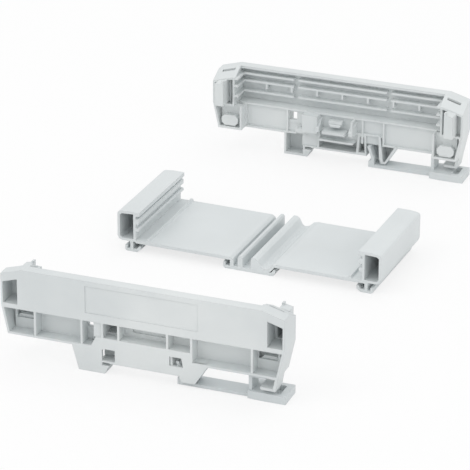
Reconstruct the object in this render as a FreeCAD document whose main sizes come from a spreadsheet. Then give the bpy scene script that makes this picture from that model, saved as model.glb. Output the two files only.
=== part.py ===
import FreeCAD, Part
import Sketcher
import os
import re

# An open rail-mounted housing, taken apart and laid out on a bench: a floor profile with
# hollow side walls, and two upright side elements with a sliding latch in each rail foot.
# Millimetres, +Z up, X along the side elements, Y along the profile. Z = 0 is the bench.

SIZES = {
    # the arrangement
    "spread": 260.6,
    "element_place": -66.6,
    "profile_place_x": 1.6,
    "profile_place_y": 12.2,
    "profile_turn": -1.7,
    # side element, heights counted from the rail seat
    "length": 128.0,
    "seat": 5.0,
    "band_low": 6.2,
    "band_high": 18.3,
    "knee": 19.3,
    "shoulder": 33.9,
    "crown": 36.8,
    "chamfer_run": 10.0,
    "slant": 2.8,
    # side element, walls, and depths from the outer face
    "skin": 1.4,
    "wall": 1.0,
    "crown_wall": 1.3,
    "crown_depth": 4.8,
    "block_depth": 13.5,
    "block_run": 11.6,
    "partition": 10.2,
    "web_front": 5.8,
    "web": 1.2,
    "flange_depth": 8.2,
    # spigots that plug into the profile's chambers
    "pocket_in": 0.9,
    "pocket_out": 7.6,
    "pocket_low": 20.4,
    "pocket_high": 30.2,
    "pocket_fall": 2.0,
    "box_back": 10.5,
    "spigot_in": 3.2,
    "spigot_reach": 19.5,
    "nub_size": 0.9,
    # chamfer slit
    "slit_in": 3.6,
    "slit_out": 9.4,
    "slit_near": 5.4,
    "slit_wide": 1.0,
    # board guides
    "guide_a": 32.3,
    "guide_b": 28.6,
    "guide_c": 23.3,
    "guide_thick": 1.1,
    "guide_depth": 4.5,
    "guide_end": 39.0,
    "guide_break": 2.2,
    "peg_pitch": 13.1,
    "peg_wide": 1.0,
    "peg_drop": 2.6,
    # label field on the outer face
    "label_start": 38.8,
    "label_end": 89.7,
    "label_low": 22.1,
    "label_high": 34.4,
    "label_deep": 0.3,
    # lower band
    "socket_wide": 15.0,
    "socket_sill": 5.6,
    "rib_b": 36.5,
    "rib_c": 45.9,
    "rib_d": 53.3,
    "rib_e": 75.4,
    "rib_f": 86.2,
    "rib_g": 113.2,
    "cable_left": 38.9,
    "cable_right": 43.4,
    "cable_low": 12.4,
    "cable_high": 17.8,
    "receiver_off": 1.4,
    "arm_half": 8.6,
    "tongue_half": 5.8,
    # rail foot
    "rail_left": 46.2,
    "rail_width": 35.0,
    "lip_gap": 1.2,
    "lip_reach": 3.2,
    "lip_relief": 0.2,
    "foot_start": 32.5,
    "foot_toe": 35.5,
    "foot_heel": 47.5,
    "foot_step": 43.6,
    "foot_ramp": 2.4,
    "foot_high": 11.6,
    "foot_depth": 8.0,
    "window_left": 5.9,
    "window_high": 6.5,
    "window_right": 4.4,
    "window_low": 4.1,
    "window_top": 8.4,
    "seat_end": 78.2,
    "loop_start": 72.6,
    "stay": 52.6,
    "leg_skew": 3.6,
    "leg_drop": 2.7,
    "leg_heel": 88.2,
    "leg_end": 93.8,
    "leg_depth": 8.7,
    "hook_low": 0.4,
    "hook_tip": 117.8,
    # latch
    "bar_drop": 4.7,
    "bar_thick": 1.4,
    "latch_near": 1.8,
    "latch_far": 9.8,
    "jaw_bite": 1.4,
    "post": 111.7,
    "arm_end": 119.5,
    "finger": 1.5,
    "finger_lean": 2.2,
    "block_top": 1.3,
    "pull_start": 117.7,
    "pull_out": 0.5,
    "pull_near": 0.4,
    "pull_far": 12.6,
    "slot_in": 5.4,
    "slot_wide": 3.0,
    "slot_deep": 2.4,
    "slot_near": 2.4,
    "slot_far": 10.4,
    "running_gap": 0.3,
    # profile
    "profile_width": 128.6,
    "profile_length": 51.5,
    "profile_height": 19.8,
    "profile_wall": 1.2,
    "chamber_low": 5.0,
    "chamber_in": 7.9,
    "plate_low": 4.4,
    "plate": 1.5,
    "top_lip": 1.9,
    "tooth_upper": 13.8,
    "tooth_thick": 2.7,
    "tooth_lower": 10.3,
    "tooth_thin": 1.6,
}


def make_sheet(doc):
    """Put every size in the sheet, one row each."""
    sheet = doc.addObject("Spreadsheet::Sheet", "Sizes")
    for row, (word, value) in enumerate(SIZES.items(), start=1):
        sheet.set(f"A{row}", word)
        sheet.set(f"B{row}", str(value))
        sheet.setAlias(f"B{row}", word)
    doc.recompute()
    return sheet


def bound(text):
    """Name the sheet before each size in a formula."""
    return re.sub(r"[a-z][a-z_]*", lambda found: "Sizes." + found.group(), str(text))


def plane_of(body, role):
    """The body's own origin plane with this role."""
    for plane in body.Origin.OriginFeatures:
        if plane.Role == role:
            return plane


def draw(body, name, outlines, near="0"):
    """Sketch closed outlines of (x, z) formulas, facing the outer side at depth near."""
    sketch = body.newObject("Sketcher::SketchObject", name)
    sketch.AttachmentSupport = [(plane_of(body, "XZ_Plane"), "")]
    sketch.MapMode = "FlatFace"
    sketch.setExpression("AttachmentOffset.Base.z", f"-({bound(near)})")
    for ring, outline in enumerate(outlines):
        spots = []
        for x, z in outline:
            x_now = float(sketch.evalExpression(bound(x)))
            z_now = float(sketch.evalExpression(bound(z)))
            spots.append(FreeCAD.Vector(x_now, z_now, 0))
        first = sketch.GeometryCount
        for here, there in zip(spots, spots[1:] + spots[:1]):
            sketch.addGeometry(Part.LineSegment(here, there), False)
        count = len(spots)
        for corner in range(count):
            edge = first + corner
            following = first + (corner + 1) % count
            sketch.addConstraint(Sketcher.Constraint("Coincident", edge, 2, following, 1))
        for corner, (x, z) in enumerate(outline):
            for kind, letter, formula, now in (
                ("DistanceX", "x", x, spots[corner].x),
                ("DistanceY", "z", z, spots[corner].y),
            ):
                rule = Sketcher.Constraint(kind, -1, 1, first + corner, 1, now)
                label = f"{letter}_{ring}_{corner}"
                sketch.renameConstraint(sketch.addConstraint(rule), label)
                sketch.setExpression(f"Constraints.{label}", bound(formula))
    sketch.Visibility = False
    return sketch


def slab(body, name, outlines, near, far):
    """Add the outlines between two depths, counted inwards from the outer face."""
    pad = body.newObject("PartDesign::Pad", name)
    pad.Profile = draw(body, name + "_outline", outlines, near)
    pad.Reversed = True
    pad.Refine = False
    pad.setExpression("Length", f"({bound(far)}) - ({bound(near)})")


def cut(body, name, outlines, near, far):
    """Take the outlines away between two depths."""
    pocket = body.newObject("PartDesign::Pocket", name)
    pocket.Profile = draw(body, name + "_outline", outlines, near)
    pocket.Reversed = False
    pocket.Refine = False
    pocket.setExpression("Length", f"({bound(far)}) - ({bound(near)})")


def block(x_low, x_high, z_low, z_high):
    """A rectangle as an outline."""
    return [(x_low, z_low), (x_high, z_low), (x_high, z_high), (x_low, z_high)]


def up(height):
    """A height above the bench for one counted from the rail seat."""
    return f"seat + ({height})"


def both(outline, across="length"):
    """An outline drawn for the left end, and its mirror image at the right end."""
    return [outline, [(f"{across} - ({x})", z) for x, z in outline]]


def add_shell(body):
    """Outer face, crown, deep ends, and the web that stands back in the lower band."""
    low_in = "slant * (knee - band_high) / (knee - band_low)"
    face = [
        (low_in, up("band_high")), ("0", up("knee")), ("0", up("shoulder")),
        ("chamfer_run", up("crown")), ("length - chamfer_run", up("crown")),
        ("length", up("shoulder")), ("length", up("knee")),
        (f"length - ({low_in})", up("band_high")),
    ]
    slab(body, "face", [face], "0", "skin")
    crown = block("chamfer_run", "length - chamfer_run", up("crown - crown_wall"), up("crown"))
    slab(body, "crown", [crown], "0", "crown_depth")
    end = [
        ("slant", up("band_low")), ("slant + wall", up("band_low")),
        (f"wall + {low_in}", up("band_high")), ("partition + wall", up("band_high")),
        ("partition + wall", up("crown - crown_wall")), ("block_run", up("crown - crown_wall")),
        ("block_run", up("crown")), ("chamfer_run", up("crown")), ("0", up("shoulder")), ("0", up("knee")),
    ]
    hollow = [
        ("wall", up("band_high + wall")), ("partition", up("band_high + wall")),
        ("partition", up("crown - crown_wall")), ("chamfer_run", up("crown - crown_wall")),
        ("wall", up("shoulder - crown_wall + chamfer_drop")),
    ]
    hollow = [(x, z.replace("chamfer_drop", "(crown - shoulder) * wall / chamfer_run")) for x, z in hollow]
    slab(body, "ends", both(end) + both(hollow), "0", "block_depth")
    web = block("slant + wall", "length - slant - wall", up("band_low"), up("band_high"))
    slab(body, "web", [web], "web_front", "web_front + web")
    rails = [
        block("wall", "length - wall", up("band_high"), up("band_high + wall")),
        block("slant", "foot_toe + wall", up("band_low"), up("band_low + wall")),
        block("leg_end - wall", "length - slant", up("band_low"), up("band_low + wall")),
    ]
    slab(body, "rails", rails, "0", "flange_depth")


def add_spigots(body):
    """Closed boxes behind the face, open to the outside, with a hollow spigot on each."""
    high_in = up("pocket_high")
    high_out = up("pocket_high + pocket_fall")
    box = [
        ("wall / 2", up("pocket_low - wall")), ("pocket_out + wall", up("pocket_low - wall")),
        ("pocket_out + wall", up("pocket_high + pocket_fall + wall")),
        ("wall / 2", up("shoulder - wall")),
    ]
    slab(body, "boxes", both(box), "0", "box_back")
    spigot = [
        ("spigot_in", up("pocket_low - wall / 2")), ("pocket_out", up("pocket_low - wall / 2")),
        ("pocket_out", high_out), ("spigot_in", up("pocket_high + pocket_fall / 2")),
    ]
    slab(body, "spigots", both(spigot), "box_back", "spigot_reach")
    nub = block("pocket_out - wall", "pocket_out", up("pocket_high + wall"),
                up("pocket_high + pocket_fall + nub_size"))
    slab(body, "nubs", both(nub), "spigot_reach - wall * 2", "spigot_reach")
    pocket = [
        ("pocket_in", up("pocket_low")), ("pocket_out", up("pocket_low")),
        ("pocket_out", high_out), ("pocket_in", high_in),
    ]
    cut(body, "pockets", both(pocket), "0", "box_back - wall")
    core = [
        ("spigot_in + wall", up("pocket_low + wall / 2")), ("pocket_out - wall", up("pocket_low + wall / 2")),
        ("pocket_out - wall", up("pocket_high")), ("spigot_in + wall", up("pocket_high - wall / 2")),
    ]
    cut(body, "cores", both(core), "box_back - wall", "spigot_reach - wall")
    slit = block("slit_in", "slit_out", up("shoulder - wall / 2"), up("crown + wall"))
    cut(body, "slits", both(slit), "block_depth - slit_near - slit_wide", "block_depth - slit_near")


def add_guides(body):
    """Three rows of board guides in three stretches, with small pegs under the middle row."""
    stretches = (
        ("partition + wall", "guide_end"),
        ("guide_end + guide_break", "length - guide_end - guide_break"),
        ("length - guide_end", "length - partition - wall"),
    )
    guides = []
    ears = []
    for row in ("guide_a", "guide_b", "guide_c"):
        low = up(row)
        high = up(f"{row} + guide_thick")
        guides += [block(start, end, low, high) for start, end in stretches]
        ears += both(block("partition + wall / 2", "partition + wall * 3", low, high))
    slab(body, "guides", guides, "skin / 2", "guide_depth")
    slab(body, "guide_ears", ears, "skin / 2", "block_depth")
    pegs = []
    for step in range(-3, 4):
        middle = f"length / 2 + {step} * peg_pitch"
        pegs.append(block(f"{middle} - peg_wide / 2", f"{middle} + peg_wide / 2",
                          up("guide_b - peg_drop"), up("guide_b + guide_thick / 2")))
    slab(body, "pegs", pegs, "skin / 2", "guide_depth")
    label = block("label_start", "label_end", up("label_low"), up("label_high"))
    cut(body, "label_field", [label], "0", "label_deep")


def add_band(body):
    """Ribs between the outer pockets, sockets at both lower corners, and the cable hole."""
    places = ("socket_wide", "rib_b", "rib_c", "rib_d", "rib_e", "rib_f", "rib_g")
    ribs = [block(place, f"{place} + wall", up("band_low"), up("band_high + wall / 2")) for place in places]
    slab(body, "ribs", ribs, "0", "flange_depth")
    cheek = block("socket_wide - wall", "socket_wide", up("band_low"), up("band_high + wall / 2"))
    slab(body, "socket_cheeks", both(cheek), "web_front", "block_depth")
    bottom = block("slant + wall / 2", "socket_wide", up("band_low"), up("band_low + wall"))
    slab(body, "socket_floors", both(bottom), "0", "block_depth")
    window = block("slant + wall * 2", "socket_wide - wall * 1.6", up("band_low + socket_sill"),
                   up("band_high - wall"))
    cut(body, "socket_windows", both(window), "web_front - wall", "web_front + web + wall")
    hole = block("cable_left", "cable_right", up("cable_low"), up("cable_high"))
    cut(body, "cable_hole", [hole], "web_front - wall", "web_front + web + wall")


def add_foot(body):
    """Rail foot: closed outer face, hook lip on the left, seat, and the hollow leg."""
    jaw = "rail_left + rail_width"
    relief_end = "rail_left + lip_reach + lip_relief"
    relief = [("rail_left", up("lip_relief")), (relief_end, up("lip_relief")), (relief_end, "seat")]
    plate = [
        ("foot_start", up("band_low")), ("foot_toe", "0"), ("foot_heel", "0"),
        ("rail_left + lip_reach", up("-lip_gap")), ("rail_left", up("-lip_gap")),
        *relief, (jaw, "seat"), (f"{jaw} + wall", up("-leg_drop")),
        ("leg_heel", up("-leg_drop")), ("leg_end", up("band_low")),
        ("leg_end", up("band_low + wall")), ("rib_f + wall", up("band_low + wall")),
        ("rib_f + wall", up("foot_high")), ("foot_step", up("foot_high")),
        ("foot_step - foot_ramp", up("band_low + wall")), ("foot_start", up("band_low + wall")),
    ]
    window_left = block("rail_left", "rail_left + window_left", up("wall"), up("window_high"))
    window_right = [
        (f"{jaw} - window_right", up("window_low")), (f"{jaw} + wall * 1.8", up("window_low")),
        (f"{jaw} + wall", up("window_top")), (f"{jaw} - window_right", up("window_top")),
    ]
    slab(body, "foot_plate", [plate, window_left, window_right], "0", "skin")
    frame = [
        ("foot_toe", "0"), ("foot_heel", "0"), ("rail_left + lip_reach", up("-lip_gap")),
        ("rail_left", up("-lip_gap")), *relief, ("seat_end", "seat"),
        ("seat_end", "seat + wall"), ("rail_left - wall", "seat + wall"), ("rail_left - wall", "wall * 1.2"),
        ("foot_toe + wall", "wall * 1.2"), ("foot_toe + wall", up("band_low + wall")),
        ("foot_toe", up("band_low + wall")),
    ]
    shelf = block("foot_step", "rib_f + wall", up("foot_high - wall"), up("foot_high"))
    slab(body, "foot_frame", [frame, shelf], "0", "foot_depth")
    leg = [
        (f"{jaw} + leg_skew", "seat"), (f"{jaw} + leg_skew + wall", up("-leg_drop")),
        ("leg_heel", up("-leg_drop")), ("leg_end", up("band_low")), ("leg_end", up("band_low + wall")),
        ("leg_end - wall", up("band_low + wall")), ("leg_heel - wall / 2", up("wall - leg_drop")),
        (f"{jaw} + leg_skew + wall * 2", up("wall - leg_drop")),
        (f"{jaw} + leg_skew + wall / 2", up("foot_high")), (f"{jaw} + leg_skew - wall / 2", up("foot_high")),
    ]
    slab(body, "leg", [leg], "skin / 2", "leg_depth")
    loop = [("loop_start", "seat"), ("seat_end", "seat"), ("seat_end - wall / 2", up("foot_high")),
            ("loop_start + wall", up("foot_high"))]
    loop_hole = [("loop_start + wall * 1.4", "seat + wall * 1.4"), ("seat_end - wall", "seat + wall * 1.4"),
                 ("seat_end - wall * 1.4", up("foot_high - wall * 2")),
                 ("loop_start + wall * 2", up("foot_high - wall * 2"))]
    stay = block("stay", "stay + wall", "seat", up("foot_high"))
    slab(body, "foot_loop", [loop, loop_hole, stay], "skin / 2", "foot_depth")


def add_receiver(body):
    """Tongues and arms that take the turned-up rails in the middle of the profile."""
    middle = "length / 2 - receiver_off"
    arms = [
        block(f"{middle} - arm_half - wall", f"{middle} - arm_half", up("foot_high - wall"), up("band_high")),
        block(f"{middle} + arm_half", f"{middle} + arm_half + wall", up("foot_high - wall"), up("band_high")),
    ]
    slab(body, "receiver_arms", arms, "web_front", "block_depth - wall")
    lower = block(f"{middle} - tongue_half", f"{middle} + tongue_half", up("foot_high - wall"), up("foot_high + wall / 4"))
    slab(body, "lower_tongue", [lower], "web_front", "block_depth")
    upper = block(f"{middle} - tongue_half * 0.6", f"{middle} + tongue_half * 0.6",
                  up("band_high - wall * 3"), up("band_high - wall * 1.6"))
    slab(body, "upper_tongue", [upper], "web_front", "block_depth - wall * 3")


def add_hook(body):
    """The turned-in lip at the lower right, which the latch rides on."""
    lip = [
        ("length - slant - wall", up("band_low + wall")), ("length - slant", up("band_low + wall")),
        ("length - slant", up("band_low")), ("length - slant - wall", up("hook_low")),
        ("hook_tip", up("hook_low")), ("hook_tip - wall / 2", up("hook_low + wall * 1.3")),
        ("length - slant - wall * 2.3", up("hook_low + wall * 1.1")),
    ]
    slab(body, "hook", [lip], "0", "flange_depth")


def make_element(doc):
    body = doc.addObject("PartDesign::Body", "front_side_element")
    add_shell(body)
    add_spigots(body)
    add_guides(body)
    add_band(body)
    add_foot(body)
    add_receiver(body)
    add_hook(body)
    body.Tip.Refine = True
    return body


def make_latch(doc):
    """Sliding bar with a jaw and a spring finger at one end and a pull block at the other."""
    body = doc.addObject("PartDesign::Body", "front_rail_latch")
    jaw = "rail_left + rail_width"
    bar_low = up("-bar_drop")
    bar_high = up("bar_thick - bar_drop")
    finger_top = up("band_low - running_gap")
    shape = [
        (f"{jaw} - jaw_bite", bar_low), ("post + wall", bar_low), ("post + wall", bar_high),
        (f"{jaw} + finger", bar_high), (f"{jaw} + finger", "seat"),
        (f"{jaw} + finger - finger_lean", finger_top), (f"{jaw} - finger_lean", finger_top),
        (jaw, "seat"), (jaw, up("-lip_gap")), (f"{jaw} - jaw_bite", up("-lip_gap - wall / 2")),
    ]
    slab(body, "bar", [shape], "latch_near", "latch_far")
    arm_high = up("band_low - running_gap")
    bracket = [
        ("post", bar_low), ("post + wall * 1.5", bar_low),
        ("post + wall * 1.5", up("band_low - running_gap - wall * 1.2")),
        ("arm_end", up("band_low - running_gap - wall * 1.2")), ("arm_end", arm_high), ("post", arm_high),
    ]
    slab(body, "bracket", [bracket], "latch_near", "latch_far")
    pull = [
        ("post", bar_low), ("pull_start", "0"), ("length + pull_out", "0"),
        ("length + pull_out", up("-block_top")), ("post", up("-block_top")),
    ]
    slab(body, "pull_block", [pull], "pull_near", "pull_far")
    slot = block("length - slot_in", "length - slot_in + slot_wide", up("-block_top - slot_deep"), up("wall"))
    cut(body, "pull_slot", [slot], "slot_near", "slot_far")
    body.Tip.Refine = True
    return body


def make_profile(doc):
    """The floor profile: one section with two hollow walls and a centre rail, cut to length."""
    body = doc.addObject("PartDesign::Body", "base_profile")
    inner = "chamber_in + profile_wall"
    low = "chamber_low"
    high = "profile_height"
    wall = [
        ("2.2", low), ("0.7", f"{low} + 0.5"), ("0", f"{low} + 2.2"), ("0", f"{high} - 1.6"),
        ("0.5", f"{high} - 0.8"), ("1.6", f"{high} - 0.4"), ("5.0", high), (f"{inner} + top_lip", high),
        (f"{inner} + top_lip", f"{high} - top_lip"), (inner, f"{high} - top_lip - 0.3"), (inner, low),
    ]
    chamber = [
        ("2.2", f"{low} + profile_wall"), ("profile_wall", f"{low} + profile_wall + 1.0"),
        ("profile_wall", f"{high} - profile_wall - 1.0"), ("2.4", f"{high} - profile_wall - 0.3"),
        ("chamber_in", f"{high} - profile_wall"), ("chamber_in", f"{low} + profile_wall"),
    ]
    across = "profile_width"
    slab(body, "walls", both(wall, across) + both(chamber, across), "0", "profile_length")
    teeth = []
    for start, thick, reach in (("tooth_upper", "tooth_thick", "1.5"), ("tooth_lower", "tooth_thin", "1.6")):
        tooth = [
            (f"{inner} - 0.2", start), (f"{inner} + {reach} - 0.4", start), (f"{inner} + {reach}", f"{start} + 0.4"),
            (f"{inner} + {reach}", f"{start} + {thick} - 0.4"), (f"{inner} + {reach} - 0.4", f"{start} + {thick}"),
            (f"{inner} - 0.2", f"{start} + {thick}"),
        ]
        teeth += both(tooth, across)
    slab(body, "board_guides", teeth, "0", "profile_length")
    foot = [
        ("6.3", f"{low} + 0.1"), ("6.3", "1.3"), ("4.9", "1.3"), ("4.9", "2.8"), ("3.8", "2.8"),
        ("3.8", "0.6"), ("4.6", "0"), ("9.6", "0"), ("11.6", "1.6"), ("11.6", "3.0"),
        ("10.6", "3.0"), ("9.6", "1.5"), ("7.8", "1.5"), ("7.8", f"{low} + 0.1"),
    ]
    slab(body, "feet", both(foot, across), "0", "profile_length")
    top = "plate_low + plate"
    ridge = [("14.0", f"{top} - 0.1"), ("14.3", f"{top} + 1.1"), ("15.4", f"{top} + 1.1"), ("15.9", f"{top} - 0.1")]
    left = [
        (f"{inner} - 0.2", "plate_low"), ("55.8", "plate_low"), ("55.8", "1.0"), ("57.6", "1.0"),
        ("57.6", f"{top} - 2.0"), ("57.2", f"{top} - 0.8"), ("55.8", top), (f"{inner} - 0.2", top),
    ]
    right = [
        (f"{across} - {inner} + 0.2", "plate_low"), (f"{across} - {inner} + 0.2", top), ("78.8", top),
        ("76.6", f"{top} - 0.5"), ("74.6", "3.4"), ("72.6", "2.8"), ("70.4", "2.8"), ("70.4", "1.0"),
        ("73.6", "1.0"), ("75.8", "2.2"), ("77.6", "plate_low"),
    ]
    slab(body, "floor", [left, right], "0", "profile_length")
    slab(body, "ridges", both(ridge, across), "0", "profile_length")
    base = [
        ("52.6", "3.2"), ("52.6", "0.7"), ("53.4", "0"), ("76.8", "0"), ("78.0", "1.8"), ("78.0", "3.2"),
        ("77.0", "3.2"), ("76.0", "1.6"), ("53.7", "1.6"), ("53.7", "3.2"),
    ]
    slab(body, "centre_base", [base], "0", "profile_length")
    rail_a = [("59.6", "1.4"), ("59.6", "6.2"), ("60.2", "7.0"), ("61.4", "7.0"), ("62.0", "6.2"), ("62.0", "1.4")]
    rail_b = [
        ("66.0", "1.4"), ("66.0", "6.4"), ("66.6", "7.3"), ("68.2", "7.3"), ("69.6", "6.4"),
        ("71.0", "3.6"), ("72.4", "2.6"), ("72.4", "1.4"),
    ]
    slab(body, "centre_rails", [rail_a, rail_b], "0", "profile_length")
    body.Tip.Refine = True
    return body


def place_pieces(doc, element, latch, profile):
    """Set the front pieces out on the bench and mirror them for the rear."""
    for piece in (element, latch):
        piece.setExpression("Placement.Base.x", bound("element_place"))
        piece.setExpression("Placement.Base.y", "-" + bound("spread") + " / 2")
    turned = FreeCAD.Rotation(FreeCAD.Vector(0, 0, 1), SIZES["profile_turn"])
    profile.Placement = FreeCAD.Placement(FreeCAD.Vector(0, 0, 0), turned)
    turn = bound("profile_turn")
    half_x = bound("profile_width") + " / 2"
    half_y = bound("profile_length") + " / 2"
    profile.setExpression("Placement.Rotation.Angle", f"{turn} * 1deg")
    profile.setExpression(
        "Placement.Base.x",
        f"{bound('profile_place_x')} - {half_x} * cos({turn} * 1deg) + {half_y} * sin({turn} * 1deg)",
    )
    profile.setExpression(
        "Placement.Base.y",
        f"{bound('profile_place_y')} - {half_x} * sin({turn} * 1deg) - {half_y} * cos({turn} * 1deg)",
    )
    twins = []
    for source, name in ((element, "rear_side_element"), (latch, "rear_rail_latch")):
        twin = doc.addObject("Part::Mirroring", name)
        twin.Source = source
        twin.Base = FreeCAD.Vector(0, 0, 0)
        twin.Normal = FreeCAD.Vector(0, 1, 0)
        twins.append(twin)
    return twins


def check(doc, pieces):
    """Stop if any object failed or any piece is not one valid solid."""
    for thing in doc.Objects:
        if "Invalid" in thing.State or "Error" in thing.State:
            raise RuntimeError(f"{thing.Label}: {thing.State}")
    for piece in pieces:
        shape = piece.Shape
        if shape.isNull() or not shape.isValid():
            raise RuntimeError(f"{piece.Label}: shape is not valid")
        if len(shape.Solids) != 1:
            raise RuntimeError(f"{piece.Label}: {len(shape.Solids)} solids")


def main():
    doc = FreeCAD.newDocument("housing")
    make_sheet(doc)
    element = make_element(doc)
    latch = make_latch(doc)
    profile = make_profile(doc)
    twins = place_pieces(doc, element, latch, profile)
    doc.recompute()
    pieces = [profile, element, latch, *twins]
    check(doc, pieces)
    os.makedirs("parts", exist_ok=True)
    for piece in pieces:
        piece.Shape.exportStep(f"parts/{piece.Label}.step")
        box = piece.Shape.BoundBox
        print(piece.Label, round(piece.Shape.Volume), [round(v, 2) for v in
              (box.XMin, box.XMax, box.YMin, box.YMax, box.ZMin, box.ZMax)])


main()
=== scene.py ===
import bmesh
import bpy
import math
from mathutils import Matrix, Vector


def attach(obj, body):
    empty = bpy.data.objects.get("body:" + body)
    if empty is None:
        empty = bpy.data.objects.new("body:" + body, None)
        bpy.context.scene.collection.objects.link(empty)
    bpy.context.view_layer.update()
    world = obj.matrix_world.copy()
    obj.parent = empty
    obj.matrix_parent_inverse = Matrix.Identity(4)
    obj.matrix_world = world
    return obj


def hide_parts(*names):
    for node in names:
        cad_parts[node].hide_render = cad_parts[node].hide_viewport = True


# Rail-mounted housing in pieces on a pale bench.
# A floor profile with hollow walls lies between two side elements with their rail latches.

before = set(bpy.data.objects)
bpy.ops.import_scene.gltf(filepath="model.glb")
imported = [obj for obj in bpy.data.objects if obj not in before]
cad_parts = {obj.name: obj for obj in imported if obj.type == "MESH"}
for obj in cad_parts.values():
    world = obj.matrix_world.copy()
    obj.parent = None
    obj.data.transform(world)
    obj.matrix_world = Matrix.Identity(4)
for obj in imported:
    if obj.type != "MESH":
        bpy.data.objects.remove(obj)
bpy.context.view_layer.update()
print("frame loaded:", ", ".join(sorted(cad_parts)))


# Camera

cameraSettings = {
    "azimuth": 20.92,  # degrees, to the right of straight on
    "elevation": 24.36,
    "roll": 0.11,
    "distance": 1.37771,
    "focalPixels": 3097.65,  # for a frame 470 pixels wide
    "frameWidth": 470,
    "aim": (0.00099, -0.02939, 0.0250),
}


def placeCamera(settings):
    azimuth = math.radians(settings["azimuth"])
    elevation = math.radians(settings["elevation"])
    back = Vector((math.sin(azimuth) * math.cos(elevation), -math.cos(azimuth) * math.cos(elevation), math.sin(elevation)))
    right = Vector((math.cos(azimuth), math.sin(azimuth), 0))
    up = back.cross(right)
    roll = math.radians(settings["roll"])
    rolledRight = right * math.cos(roll) + up * math.sin(roll)
    rolledUp = back.cross(rolledRight)
    eye = Vector(settings["aim"]) + back * settings["distance"]
    data = bpy.data.cameras.new("photoCamera")
    data.sensor_width = 36
    data.lens = settings["focalPixels"] * 36 / settings["frameWidth"]
    data.clip_end = 10
    camera = bpy.data.objects.new("photoCamera", data)
    turn = Matrix((rolledRight, rolledUp, back)).transposed().to_4x4()
    camera.matrix_world = Matrix.Translation(eye) @ turn
    bpy.context.scene.collection.objects.link(camera)
    bpy.context.scene.camera = camera
    return camera


placeCamera(cameraSettings)
print("camera placed")


# Node helpers

def hexToLinear(code):
    values = [int(code[i:i + 2], 16) / 255 for i in (1, 3, 5)]
    return tuple(v / 12.92 if v <= 0.04045 else ((v + 0.055) / 1.055) ** 2.4 for v in values) + (1.0,)


def addNode(tree, kind, settings=None, links=None):
    """settings holds attributes and input values, links holds input name to output socket"""
    node = tree.nodes.new(kind)
    for name, value in (settings or {}).items():
        if hasattr(node, name):
            setattr(node, name, value)
        else:
            node.inputs[name].default_value = value
    for name, socket in (links or {}).items():
        tree.links.new(socket, node.inputs[name])
    return node


# Plastics

sideSettings = {  # moulded polyamide: pale grey, even satin from a spark-eroded tool
    "name": "moulded polyamide, satin",
    "light": "#DDE1E1",
    "dark": "#D2D7D8",
    "cloudSize": 38.0,  # mm, slow change of shade across a moulding
    "grainSize": 0.45,  # mm, drawn coarser than the real 0.1 mm texture so that it shows
    "grainHeight": 0.02,  # mm
    "edgeRadius": 0.28,  # mm
    "roughness": 0.46,
    "roughnessSpread": 0.06,
    "ior": 1.53,
    "drawLines": 0.0,
}

latchSettings = dict(sideSettings, **{
    "name": "moulded polyamide, latch",
    "light": "#D6DBDC",
    "dark": "#CCD2D4",
    "roughness": 0.40,
    "edgeRadius": 0.22,
})

profileSettings = {  # extruded PVC: smoother than the mouldings, with faint lines along its length
    "name": "extruded PVC, light grey",
    "light": "#DADFE0",
    "dark": "#D3D8D9",
    "cloudSize": 60.0,
    "grainSize": 0.9,
    "grainHeight": 0.008,
    "edgeRadius": 0.2,
    "roughness": 0.38,
    "roughnessSpread": 0.05,
    "ior": 1.54,
    "drawLines": 1.2,  # mm, spacing of the lines that the die leaves
}


def makePlastic(settings):
    material = bpy.data.materials.new(settings["name"])
    material.use_nodes = True
    tree = material.node_tree
    tree.nodes.clear()
    place = addNode(tree, "ShaderNodeTexCoord")
    cloud = addNode(tree, "ShaderNodeTexNoise", {"Scale": 1000 / settings["cloudSize"], "Detail": 3.0, "Roughness": 0.5},
                    {"Vector": place.outputs["Object"]})
    shade = addNode(tree, "ShaderNodeMapRange", {"From Min": 0.35, "From Max": 0.65}, {"Value": cloud.outputs["Fac"]})
    colour = addNode(tree, "ShaderNodeMix", {"data_type": "RGBA"})
    colour.inputs[6].default_value = hexToLinear(settings["dark"])
    colour.inputs[7].default_value = hexToLinear(settings["light"])
    tree.links.new(shade.outputs["Result"], colour.inputs[0])
    grain = addNode(tree, "ShaderNodeTexNoise", {"Scale": 1000 / settings["grainSize"], "Detail": 2.0, "Roughness": 0.6},
                    {"Vector": place.outputs["Object"]})
    height = grain.outputs["Fac"]
    if settings["drawLines"]:
        turned = addNode(tree, "ShaderNodeMapping", {"Rotation": (0, 0, math.radians(1.7)), "Scale": (1, 0.006, 1)},
                         {"Vector": place.outputs["Object"]})
        lines = addNode(tree, "ShaderNodeTexNoise", {"Scale": 1000 / settings["drawLines"], "Detail": 2.0},
                        {"Vector": turned.outputs["Vector"]})
        joined = addNode(tree, "ShaderNodeMath", {"operation": "ADD"})
        tree.links.new(grain.outputs["Fac"], joined.inputs[0])
        tree.links.new(lines.outputs["Fac"], joined.inputs[1])
        height = joined.outputs["Value"]
    rounded = addNode(tree, "ShaderNodeBevel", {"samples": 6, "Radius": settings["edgeRadius"] / 1000})
    bump = addNode(tree, "ShaderNodeBump", {"Strength": 0.5, "Distance": settings["grainHeight"] / 1000},
                   {"Height": height, "Normal": rounded.outputs["Normal"]})
    gloss = addNode(tree, "ShaderNodeMapRange",
                    {"To Min": settings["roughness"] - settings["roughnessSpread"],
                     "To Max": settings["roughness"] + settings["roughnessSpread"]}, {"Value": cloud.outputs["Fac"]})
    shader = addNode(tree, "ShaderNodeBsdfPrincipled", {"IOR": settings["ior"]},
                     {"Base Color": colour.outputs[2], "Roughness": gloss.outputs["Result"], "Normal": bump.outputs["Normal"]})
    addNode(tree, "ShaderNodeOutputMaterial", {}, {"Surface": shader.outputs["BSDF"]})
    return material


# Side elements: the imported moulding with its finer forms
# Places are in millimetres: across from the element's left end, deep from its outer face, high from the rail seat

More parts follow.
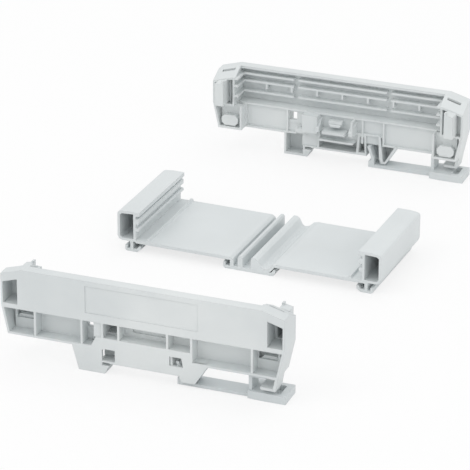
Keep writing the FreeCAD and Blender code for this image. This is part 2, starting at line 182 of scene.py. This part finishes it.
elementSettings = {
    "left": -66.6,
    "outer": 130.3,
    "seat": 5.0,
    "length": 128.0,
    "roofRidge": 6.0,  # the end roofs are level as far as this, then fall towards the inside
    "roofDeep": 13.5,
    "roofFall": 3.4,
    "roofLow": 33.9,
    "roofHigh": 36.8,
    "roofRun": 10.0,
    "roofThick": 1.2,
    "slitStart": 2.9,
    "slitEnd": 9.6,
    "slitNear": 7.0,
    "slitFar": 8.4,
    "edge": 0.3,
}


def place(settings, side, across, deep, high):
    far = settings["outer"] - deep
    return Vector((settings["left"] + across, far if side == "rear" else -far, settings["seat"] + high)) / 1000


def addSolid(mesh, settings, side, rings):
    """rings are the two ends of a solid, each a list of (across, deep, high)"""
    ends = [[mesh.verts.new(place(settings, side, *corner)) for corner in ring] for ring in rings]
    count = len(ends[0])
    faces = [mesh.faces.new(ends[0]), mesh.faces.new(list(reversed(ends[1])))]
    for i in range(count):
        j = (i + 1) % count
        faces.append(mesh.faces.new((ends[0][j], ends[0][i], ends[1][i], ends[1][j])))
    return faces


def swept(outline, near, far):
    """an (across, high) outline as two rings, from one depth to another"""
    return [[(x, near, z) for x, z in outline], [(x, far, z) for x, z in outline]]


def rounded(low, high, start, end, corner):
    """a rectangle with cut corners, as an (across, high) outline"""
    return [(start + corner, low), (end - corner, low), (end, low + corner), (end, high - corner),
            (end - corner, high), (start + corner, high), (start, high - corner), (start, low + corner)]


def flipped(settings, ring):
    return [(settings["length"] - x, y, z) for x, y, z in ring]


def bothEnds(settings, solids):
    return solids + [[flipped(settings, ring) for ring in solid] for solid in solids]


def roofSection(settings, across, drop, lift):
    """the sloping part of an end roof, cut across the element: four corners in depth and height"""
    rise = (settings["roofHigh"] - settings["roofLow"]) * min(across / settings["roofRun"], 1.0)
    high = settings["roofLow"] + rise
    slope = settings["roofFall"] / (settings["roofDeep"] - settings["roofRidge"])
    deep = settings["roofDeep"] + (1.0 if lift else 0.0)
    foot = high - slope * (deep - settings["roofRidge"])
    top = lift if lift else 0.0
    return [(across, settings["roofRidge"], high - drop), (across, deep, foot - drop),
            (across, deep, (high if lift else foot) + top), (across, settings["roofRidge"], high + top)]


def meshOf(settings, side, name, solids, edge=0.0):
    mesh = bmesh.new()
    for rings in solids:
        addSolid(mesh, settings, side, rings)
    bmesh.ops.recalc_face_normals(mesh, faces=mesh.faces)
    if edge:
        bmesh.ops.bevel(mesh, geom=mesh.edges[:], offset=edge / 1000, segments=2, affect="EDGES", profile=0.5, clamp_overlap=True)
    data = bpy.data.meshes.new(name)
    mesh.to_mesh(data)
    mesh.free()
    thing = bpy.data.objects.new(name, data)
    bpy.context.scene.collection.objects.link(thing)
    return thing


def roofCutters(settings):
    sloped = [roofSection(settings, -1.0, 0.0, 5.0), roofSection(settings, settings["roofRun"], 0.0, 5.0)]
    level = [roofSection(settings, settings["roofRun"], 0.0, 5.0), roofSection(settings, 12.4, 0.0, 5.0)]
    return bothEnds(settings, [sloped, level])


def slitCutters(settings):
    slit = [(settings["slitStart"], 30.5), (settings["slitEnd"], 32.0), (settings["slitEnd"], 39.0), (settings["slitStart"], 39.0)]
    return bothEnds(settings, [swept(slit, settings["slitNear"], settings["slitFar"])])


def roofPlates(settings):
    sloped = [roofSection(settings, 0.0, settings["roofThick"], 0.0), roofSection(settings, settings["roofRun"], settings["roofThick"], 0.0)]
    level = [roofSection(settings, settings["roofRun"], settings["roofThick"], 0.0), roofSection(settings, 11.6, settings["roofThick"], 0.0)]
    return bothEnds(settings, [sloped, level])


pocketSettings = {  # the block around the cable hole and the deep pocket beside it
    "blockStart": 37.2, "blockEnd": 46.6, "blockLow": 11.4, "blockHigh": 18.6, "blockFar": 7.2, "cheekStart": 42.4,
    "holeStart": 37.7, "holeEnd": 41.8, "holeLow": 13.3, "holeHigh": 17.5,
    "boxStart": 46.1, "boxEnd": 54.0, "boxLow": 9.6, "boxFar": 12.4,
    "wall": 0.95,
    "grooveStart": 58.2, "grooveEnd": 73.0, "grooveLow": 13.6, "grooveHigh": 15.6,
}


def rectangle(start, end, low, high):
    return [(start, low), (end, low), (end, high), (start, high)]


def pocketSolids(settings):
    block = rectangle(settings["blockStart"], settings["blockEnd"], settings["blockLow"], settings["blockHigh"])
    box = rectangle(settings["boxStart"], settings["boxEnd"], settings["boxLow"], settings["blockHigh"])
    cheek = rectangle(settings["cheekStart"], settings["blockEnd"], settings["blockLow"], settings["blockHigh"])
    return [swept(block, 5.6, settings["blockFar"]), swept(cheek, 0.6, settings["blockFar"] - 0.1), swept(box, 5.2, settings["boxFar"])]


def pocketCutters(settings):
    hole = rectangle(settings["holeStart"], settings["holeEnd"], settings["holeLow"], settings["holeHigh"])
    wall = settings["wall"]
    box = rectangle(settings["boxStart"] + wall, 53.25, settings["blockLow"] + 0.9, 17.3)
    groove = rectangle(settings["grooveStart"], settings["grooveEnd"], settings["grooveLow"], settings["grooveHigh"])
    return [swept(hole, -1.0, 15.0), swept(box, -1.0, settings["boxFar"] - wall), swept(groove, 4.0, 6.5)]


def dressSide(settings, side, node):
    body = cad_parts[node]
    shell = bpy.data.objects.new(side + "SideMoulding", body.data.copy())
    bpy.context.scene.collection.objects.link(shell)
    steps = [
        ("DIFFERENCE", meshOf(settings, side, side + "RoofCutter", roofCutters(settings))),
        ("UNION", meshOf(settings, side, side + "RoofPlates", roofPlates(settings))),
        ("DIFFERENCE", meshOf(settings, side, side + "SlitCutter", slitCutters(settings))),
        ("UNION", meshOf(settings, side, side + "PocketSolids", pocketSolids(pocketSettings))),
        ("DIFFERENCE", meshOf(settings, side, side + "PocketCutters", pocketCutters(pocketSettings))),
    ]
    for way, tool in steps:
        change = shell.modifiers.new(way, "BOOLEAN")
        change.operation = way
        change.solver = "EXACT"
        change.use_self = True
        change.object = tool
    graph = bpy.context.evaluated_depsgraph_get()
    cut = bpy.data.meshes.new_from_object(shell.evaluated_get(graph))
    shell.modifiers.clear()
    shell.data = cut
    for way, tool in steps:
        bpy.data.objects.remove(tool)
    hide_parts(node)
    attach(shell, "enclosure")
    return shell


# Finer forms of the lower band, each a solid between two depths

socketSettings = {  # guides for the profile's feet, in both lower corners
    "start": 4.2, "end": 12.8, "low": 7.6, "high": 13.2, "corner": 1.6, "near": 6.8, "far": 12.8,
    "wallStart": 3.4, "wallEnd": 14.4, "wallLow": 7.0, "wallHigh": 18.6, "wallNear": 9.2, "wallFar": 10.0,
}

bandSettings = {
    "floorLow": 6.2,
    "floorHigh": 7.2,
    "rampStart": 36.3,
    "rampEnd": 41.4,
    "stepEnd": 44.2,
    "stepHigh": 11.6,
    "legStart": 87.0,
    "legEnd": 93.2,
    "near": 0.7,
    "far": 8.1,
}

receiverSettings = {  # holds the turned-up rails in the middle of the profile
    "middle": 62.6,
    "tongueHalf": 3.6,
    "tongueLow": 13.6,
    "tongueHigh": 16.6,
    "tongueFar": 11.2,
    "armIn": 7.6,
    "armOut": 10.4,
    "armLow": 10.4,
    "armHigh": 17.6,
    "armFar": 12.9,
    "ledgeLow": 5.9,
    "ledgeHigh": 6.9,
    "ledgeFar": 11.4,
    "back": 6.8,
}


def socketForms(settings):
    guide = swept(rounded(settings["low"], settings["high"], settings["start"], settings["end"], settings["corner"]),
                  settings["near"], settings["far"])
    wall = swept(rounded(settings["wallLow"], settings["wallHigh"], settings["wallStart"], settings["wallEnd"], 0.2),
                 settings["wallNear"], settings["wallFar"])
    return bothEnds(elementSettings, [guide, wall])


def bandForms(settings):
    low, high, step = settings["floorLow"], settings["floorHigh"], settings["stepHigh"]
    ramp = [(settings["rampStart"], low), (settings["rampEnd"], low), (settings["stepEnd"], step - 1.0),
            (settings["stepEnd"], step), (settings["stepEnd"] - 0.8, step), (settings["rampEnd"] - 0.4, high), (settings["rampStart"], high)]
    floor = [(settings["legStart"], low), (settings["legEnd"], low), (settings["legEnd"], high), (settings["legStart"], high)]
    bracket = rounded(8.2, 10.4, 42.2, 53.0, 0.5)
    back = rounded(0.5, 9.0, 44.6, 53.2, 0.3)
    return [swept(ramp, settings["near"], settings["far"]), swept(floor, settings["near"], settings["far"]),
            swept(bracket, 5.9, 10.8), swept(back, 6.4, 7.4)]


def receiverForms(settings):
    middle, back = settings["middle"], settings["back"]
    half = settings["tongueHalf"]
    low, high = settings["tongueLow"], settings["tongueHigh"]
    tongue = [
        [(middle - half, back, low), (middle + half, back, low), (middle + half, back, high), (middle - half, back, high)],
        [(middle - half * 0.6, settings["tongueFar"], low + 0.2), (middle + half * 0.6, settings["tongueFar"], low + 0.2),
         (middle + half * 0.8, settings["tongueFar"], low + 1.3), (middle - half * 0.8, settings["tongueFar"], low + 1.3)],
    ]
    arms = []
    for way in (-1, 1):
        inner, outer = middle + way * settings["armIn"], middle + way * settings["armOut"]
        arms.append([
            [(inner, back, settings["armLow"]), (outer, back, settings["armLow"]),
             (outer, back, settings["armHigh"]), (inner, back, settings["armHigh"])],
            [(inner, settings["armFar"], settings["armLow"] + 0.4), (outer - way * 0.8, settings["armFar"], settings["armLow"] + 0.4),
             (outer - way * 0.8, settings["armFar"], settings["armLow"] + 2.6), (inner, settings["armFar"], settings["armLow"] + 2.6)],
        ])
    ledge = swept(rounded(settings["ledgeLow"], settings["ledgeHigh"], middle - 8.0, middle + 9.6, 0.25), back - 1.2, settings["ledgeFar"])
    return [tongue, ledge] + arms


sidePlastic = makePlastic(sideSettings)
latchPlastic = makePlastic(latchSettings)
profilePlastic = makePlastic(profileSettings)
finishes = {
    "front_side_element": sidePlastic,
    "rear_side_element": sidePlastic,
    "front_rail_latch": latchPlastic,
    "rear_rail_latch": latchPlastic,
    "base_profile": profilePlastic,
}
for name, finish in finishes.items():
    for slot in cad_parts[name].material_slots:
        slot.material = finish
print("plastics assigned")

for side in ("front", "rear"):
    dressSide(elementSettings, side, side + "_side_element")
    solids = socketForms(socketSettings) + bandForms(bandSettings) + receiverForms(receiverSettings)
    forms = meshOf(elementSettings, side, side + "BandForms", solids, elementSettings["edge"])
    forms.data.materials.append(sidePlastic)
    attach(forms, "enclosure")
print("side elements dressed")


# Bench and light

benchSettings = {
    "size": 6.0,  # metres
    "colour": "#F4F4F4",
    "shadowDepth": 0.75,
}

lampSettings = {
    "sky": 0.84,
    "key": {"place": (-0.9, -0.9, 1.5), "size": 1.1, "power": 5.5},
    "fill": {"place": (1.3, -0.8, 0.9), "size": 1.2, "power": 2.0},
    "top": {"place": (0.1, 0.4, 1.6), "size": 1.4, "power": 3.5},
}


def makeBench(settings):
    half = settings["size"] / 2
    mesh = bpy.data.meshes.new("bench")
    mesh.from_pydata([(-half, -half, 0), (half, -half, 0), (half, half, 0), (-half, half, 0)], [], [(0, 1, 2, 3)])
    bench = bpy.data.objects.new("bench", mesh)
    bpy.context.scene.collection.objects.link(bench)
    material = bpy.data.materials.new("white studio board")
    material.use_nodes = True
    tree = material.node_tree
    tree.nodes.clear()
    board = addNode(tree, "ShaderNodeBsdfDiffuse", {"Color": hexToLinear(settings["colour"])})
    glow = addNode(tree, "ShaderNodeEmission", {"Color": (1, 1, 1, 1), "Strength": 1.0})
    path = addNode(tree, "ShaderNodeLightPath")
    camera = addNode(tree, "ShaderNodeMath", {"operation": "MULTIPLY"}, {})
    tree.links.new(path.outputs["Is Camera Ray"], camera.inputs[0])
    camera.inputs[1].default_value = settings["shadowDepth"]
    mixed = addNode(tree, "ShaderNodeMixShader")
    tree.links.new(camera.outputs["Value"], mixed.inputs[0])
    tree.links.new(board.outputs["BSDF"], mixed.inputs[1])
    tree.links.new(glow.outputs["Emission"], mixed.inputs[2])
    addNode(tree, "ShaderNodeOutputMaterial", {}, {"Surface": mixed.outputs["Shader"]})
    mesh.materials.append(material)
    return bench


def addLamp(name, settings):
    data = bpy.data.lights.new(name, "AREA")
    data.shape = "SQUARE"
    data.size = settings["size"]
    data.energy = settings["power"]
    lamp = bpy.data.objects.new(name, data)
    spot = Vector(settings["place"])
    lamp.matrix_world = Matrix.Translation(spot) @ spot.to_track_quat("Z", "Y").to_matrix().to_4x4()
    bpy.context.scene.collection.objects.link(lamp)
    return lamp


def makeWorld(strength):
    world = bpy.data.worlds.new("studio")
    bpy.context.scene.world = world
    world.use_nodes = True
    tree = world.node_tree
    tree.nodes.clear()
    light = addNode(tree, "ShaderNodeBackground", {"Color": (1, 1, 1, 1), "Strength": strength})
    seen = addNode(tree, "ShaderNodeBackground", {"Color": (1, 1, 1, 1), "Strength": 1.0})
    path = addNode(tree, "ShaderNodeLightPath")
    mixed = addNode(tree, "ShaderNodeMixShader")
    tree.links.new(path.outputs["Is Camera Ray"], mixed.inputs[0])
    tree.links.new(light.outputs["Background"], mixed.inputs[1])
    tree.links.new(seen.outputs["Background"], mixed.inputs[2])
    addNode(tree, "ShaderNodeOutputWorld", {}, {"Surface": mixed.outputs["Shader"]})


makeBench(benchSettings)
makeWorld(lampSettings["sky"])
for lampName in ("key", "fill", "top"):
    addLamp(lampName, lampSettings[lampName])
bpy.context.scene.view_settings.view_transform = "Standard"
print("bench and lamps set")
